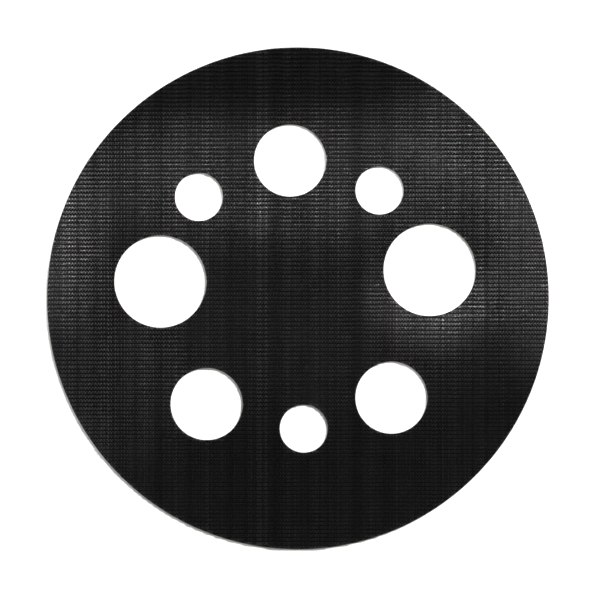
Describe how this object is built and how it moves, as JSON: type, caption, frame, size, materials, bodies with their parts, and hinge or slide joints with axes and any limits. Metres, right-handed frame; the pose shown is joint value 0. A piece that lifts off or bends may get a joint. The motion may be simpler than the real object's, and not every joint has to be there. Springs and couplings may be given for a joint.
{
  "type": "hook pad disc",
  "caption": "Round hook-faced pad disc for a random orbital sander, with a pattern of dust holes in three sizes, an adhesive back and a split release liner.",
  "frame": {"origin": "centre of the disc on the surface that it lies on, under the release liner", "axes": "+Z is the disc's axis and points out of the hook face; +X runs along the hook rows, towards the right half of the liner; +Y points to the medium dust hole between the two upper small ones"},
  "size_m": [0.125, 0.125, 0.0021],
  "materials": {
    "hook_nylon": "black moulded nylon with a satin sheen, covered in fine rows of hooks",
    "hot_melt": "thin dark glue line",
    "cloth": "black plain-woven polyester cloth",
    "tape_adhesive": "pale amber pressure-sensitive adhesive, glossy and tacky",
    "polyester_film": "clear polyester film",
    "liner_paper": "off-white silicone-coated kraft paper, slightly glossy"
  },
  "bodies": {
    "liner_left": {"release_liner_left": "liner_paper"},
    "liner_right": {"release_liner_right": "liner_paper"},
    "pad": {"hook_sheet": "hook_nylon", "laminating_adhesive": "hot_melt", "reinforcing_cloth": "cloth", "upper_adhesive": "tape_adhesive", "carrier_film": "polyester_film", "lower_adhesive": "tape_adhesive"}
  },
  "joints": [
    {"name": "pad_peel", "type": "hinge", "parent": "liner_left", "child": "pad", "pos_m": [-0.0625, 0, 0.00012], "axis": [0, -1, 0], "range_deg": [0, 90]},
    {"name": "liner_right_slide", "type": "slide", "parent": "liner_left", "child": "liner_right", "axis": [1, 0, 0], "range_m": [0, 0.04]}
  ]
}
